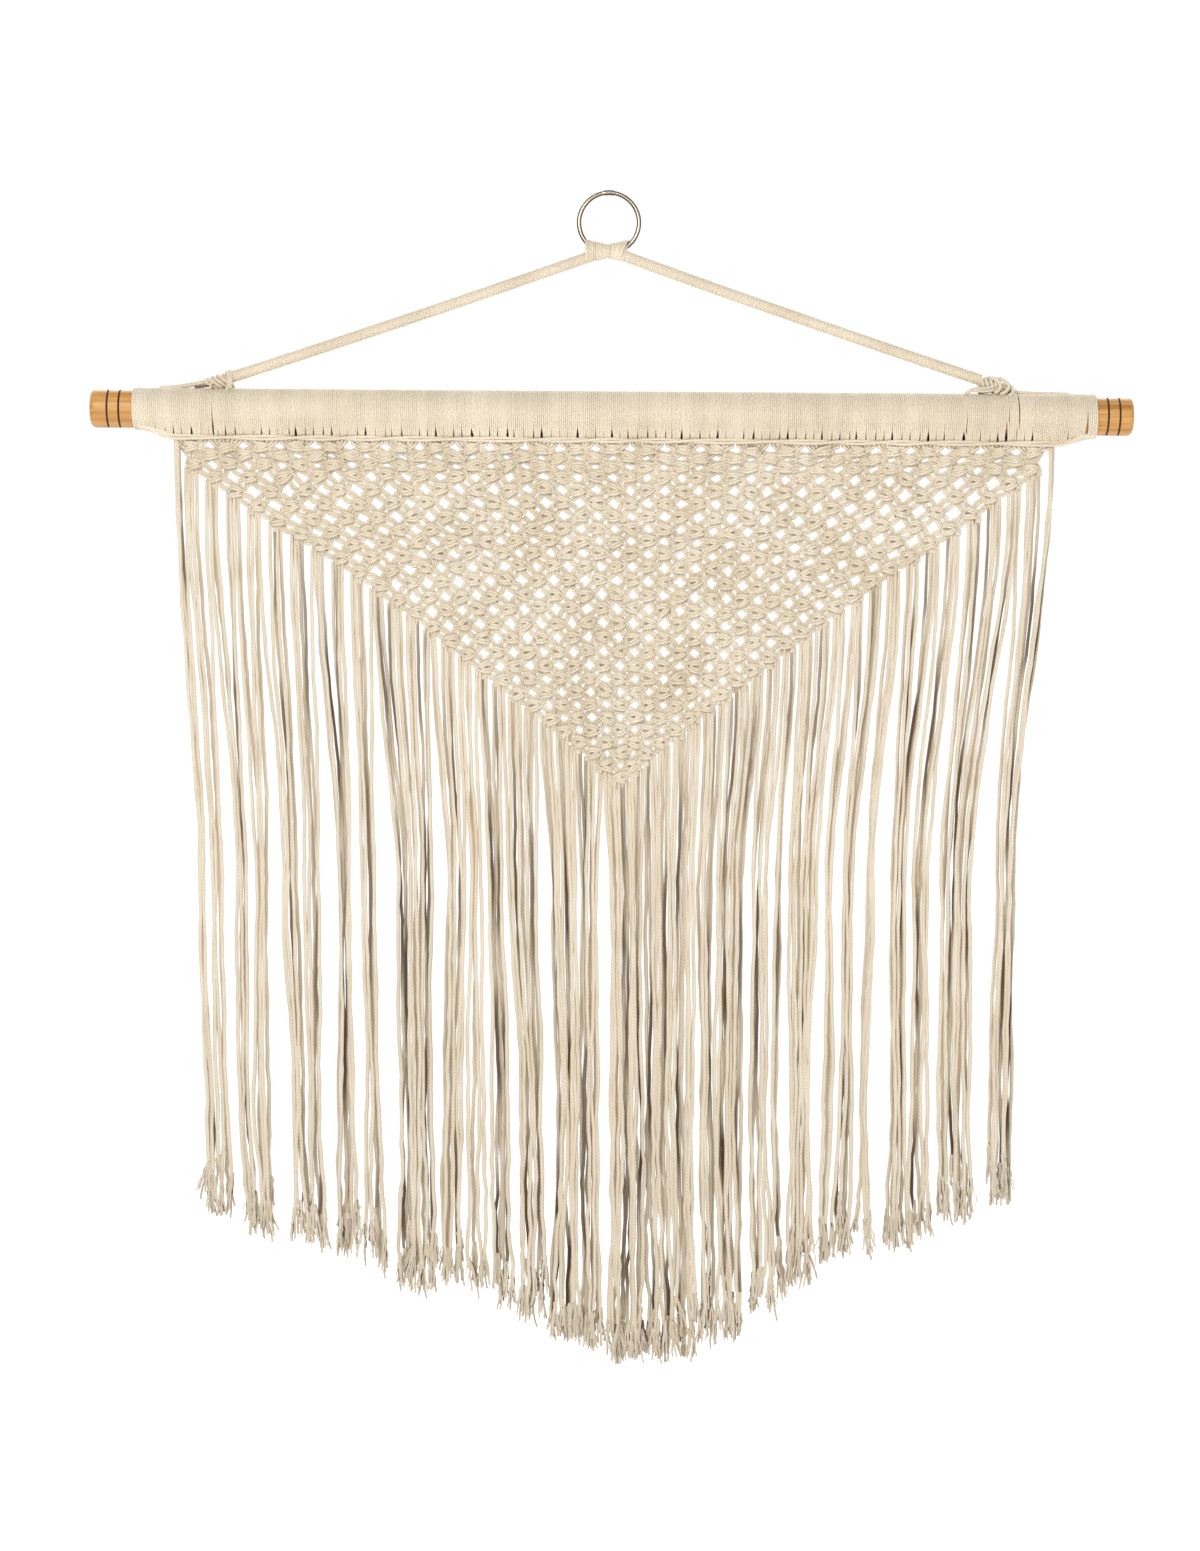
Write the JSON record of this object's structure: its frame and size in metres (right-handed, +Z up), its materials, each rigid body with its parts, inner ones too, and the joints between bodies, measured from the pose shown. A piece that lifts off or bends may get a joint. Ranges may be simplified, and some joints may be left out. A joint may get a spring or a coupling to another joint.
{
  "type": "macrame wall hanging on a wooden rod",
  "caption": "Triangular net of alternating square knots in cotton cord with a long free fringe, carried under a yarn-wrapped wooden rod that hangs from a metal ring.",
  "frame": {"origin": "where the ring rests on a wall hook: inside the top of the ring", "axes": "+X to the right along the rod, -Y towards the viewer, +Z up"},
  "size_m": [0.914, 0.036, 1.0216],
  "materials": {
    "rod_wood": "satin varnish",
    "wound_yarn": "matte wound cotton yarn",
    "cotton_cord": "matte twisted cotton",
    "ring_steel": "plain nickel-coloured wire"
  },
  "bodies": {
    "root": {"dowel": "rod_wood", "rod_wrap": "wound_yarn", "holding_cord": "cotton_cord", "macrame_net": "cotton_cord", "fringe_left": "cotton_cord", "fringe_right": "cotton_cord", "hanger_leg_left": "wound_yarn", "hanger_leg_right": "wound_yarn", "hanger_knot_left": "cotton_cord", "hanger_knot_right": "cotton_cord", "ring_lashing": "wound_yarn", "ring": "ring_steel"}
  },
  "joints": []
}
